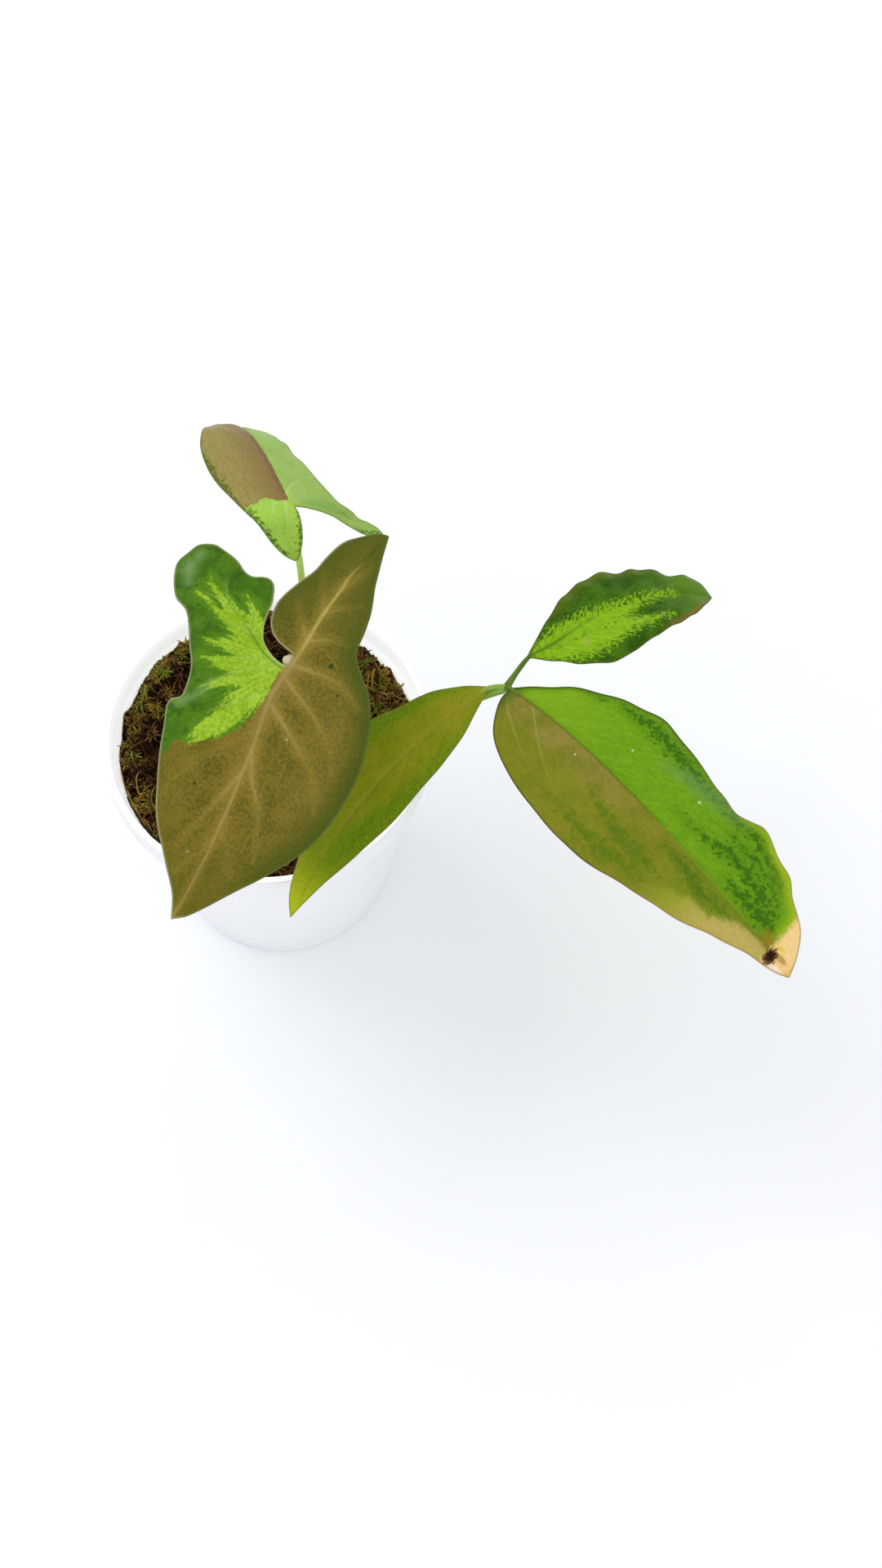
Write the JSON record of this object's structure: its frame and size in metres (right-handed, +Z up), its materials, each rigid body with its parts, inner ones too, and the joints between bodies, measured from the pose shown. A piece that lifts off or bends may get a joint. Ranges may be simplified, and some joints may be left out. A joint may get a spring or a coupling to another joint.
{
  "type": "potted arrowhead plant",
  "caption": "Young arrowhead plant with arrow-shaped and three-part leaves on slender stalks, growing in moss in a plain round white nursery pot.",
  "frame": {"origin": "centre of the pot's flat underside, on the surface it stands on", "axes": "+Z up along the pot's axis; -Y towards the viewer of the picture; +X to the viewer's right, the side the three-part leaf reaches over"},
  "size_m": [0.1842, 0.1404, 0.1507],
  "materials": {
    "pot_white": "smooth white plastic with a soft sheen",
    "moss_brown": "dry to damp brown moss, fully matt",
    "stem_green": "smooth pale green stalk",
    "leaf_a_olive": "soft satin leaf, part olive brown and part green",
    "leaf_b_green": "soft satin leaf, half brown and half pale green",
    "leaf_c_green": "soft satin leaf, bright green with darker speckles"
  },
  "bodies": {
    "root": {"pot": "pot_white", "moss": "moss_brown", "crown": "stem_green", "petiole_a": "stem_green", "petiole_b": "stem_green", "petiole_c": "stem_green", "leaf_a": "leaf_a_olive", "leaf_b": "leaf_b_green", "leaf_c_centre": "leaf_c_green", "leaf_c_right": "leaf_c_green", "leaf_c_left": "leaf_c_green"}
  },
  "joints": []
}
